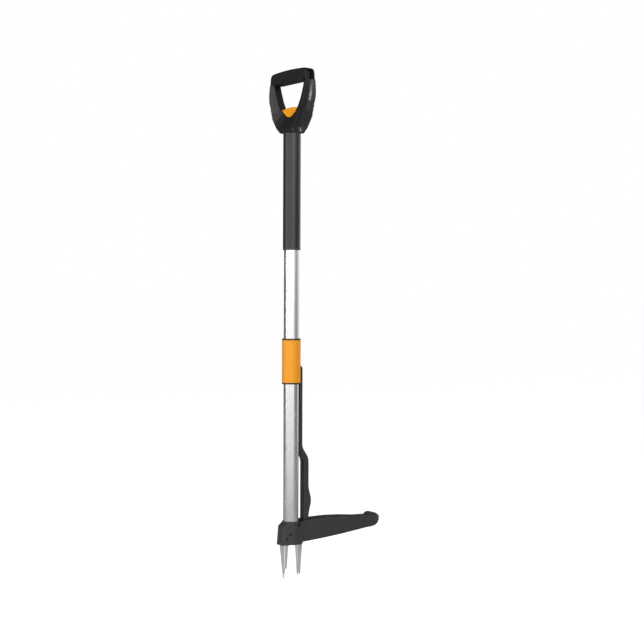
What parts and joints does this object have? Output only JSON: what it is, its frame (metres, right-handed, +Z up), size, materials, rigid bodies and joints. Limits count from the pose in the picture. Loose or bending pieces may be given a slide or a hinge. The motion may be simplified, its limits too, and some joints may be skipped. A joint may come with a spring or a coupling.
{
  "type": "stand up weeder",
  "caption": "Long-handled weeder with a foot pedal whose hinged claws close round a root, an ejector slide linked to the pedal, and a telescopic D-handle with a release button.",
  "frame": {"origin": "on the shaft's axis at the sole of the head, where the ground is once the claws are pushed in", "axes": "+Z up the shaft to the D-handle, +Y along the foot pedal, +X along the pivots and the cross bar"},
  "size_m": [0.1236, 0.2495, 0.9942],
  "materials": {
    "bare_aluminium": "drawn and clear anodised, satin",
    "black_coat": "black powder coat, semi-matt",
    "black_plastic": "glass-filled nylon, fine moulded texture",
    "soft_grip": "soft overmoulded grip, matt",
    "orange_plastic": "moulded orange plastic, satin",
    "grey_plastic": "acetal, matt",
    "claw_steel": "stamped stainless sheet, brushed",
    "steel": "zinc plated"
  },
  "bodies": {
    "lower_shaft": {"shaft_tube": "bare_aluminium", "shaft_end_bush": "grey_plastic", "head_housing": "black_plastic", "tube_rivet": "steel", "pedal_pivot_pin": "steel", "front_claw_pin": "steel", "rear_claw_pin": "steel", "claw_spacers": "grey_plastic"},
    "pedal": {"foot_pedal": "black_plastic", "claw_lift_pin": "steel"},
    "front_claw": {"front_claw": "claw_steel"},
    "rear_claw": {"rear_claw": "claw_steel"},
    "slider": {"slider_bush": "black_plastic", "slider_grip": "orange_plastic", "link_arm": "black_plastic", "link_screws": "steel", "link_pin": "steel"},
    "handle": {"outer_tube": "black_coat", "guide_bush": "black_plastic", "handle_yoke": "black_plastic", "bar_grip": "soft_grip", "handle_screws": "steel", "lock_tube": "steel", "brake_shoes": "grey_plastic", "button_spring": "steel"},
    "release": {"release_button": "orange_plastic", "release_rod": "steel", "brake_cone": "grey_plastic"}
  },
  "joints": [
    {"name": "handle_extend", "type": "slide", "parent": "lower_shaft", "child": "handle", "axis": [0, 0, 1], "range_m": [0, 0.168]},
    {"name": "button_press", "type": "slide", "parent": "handle", "child": "release", "axis": [0, 0, -1], "range_m": [0, 0.006], "stiffness_N_per_m": 900, "springref_m": -0.004, "deforming": ["button_spring"]},
    {"name": "pedal_swing", "type": "hinge", "parent": "lower_shaft", "child": "pedal", "pos_m": [0, -0.0105, 0.02], "axis": [1, 0, 0], "range_deg": [0, 18]},
    {"name": "front_claw_close", "type": "hinge", "parent": "lower_shaft", "child": "front_claw", "pos_m": [0, -0.017, 0.0127], "axis": [1, 0, 0], "range_deg": [-1, 11]},
    {"name": "rear_claw_close", "type": "hinge", "parent": "lower_shaft", "child": "rear_claw", "pos_m": [0, 0.017, 0.0127], "axis": [1, 0, 0], "range_deg": [-13.5, 1]},
    {"name": "ejector_slide", "type": "slide", "parent": "lower_shaft", "child": "slider", "axis": [0, 0, 1], "range_m": [-0.001, 0.0145]}
  ],
  "couplings": [
    {"joint": "front_claw_close", "follows": "pedal_swing", "ratio": 0.57},
    {"joint": "rear_claw_close", "follows": "pedal_swing", "ratio": -0.7},
    {"joint": "ejector_slide", "follows": "pedal_swing", "m_per_rad": 0.0417}
  ]
}
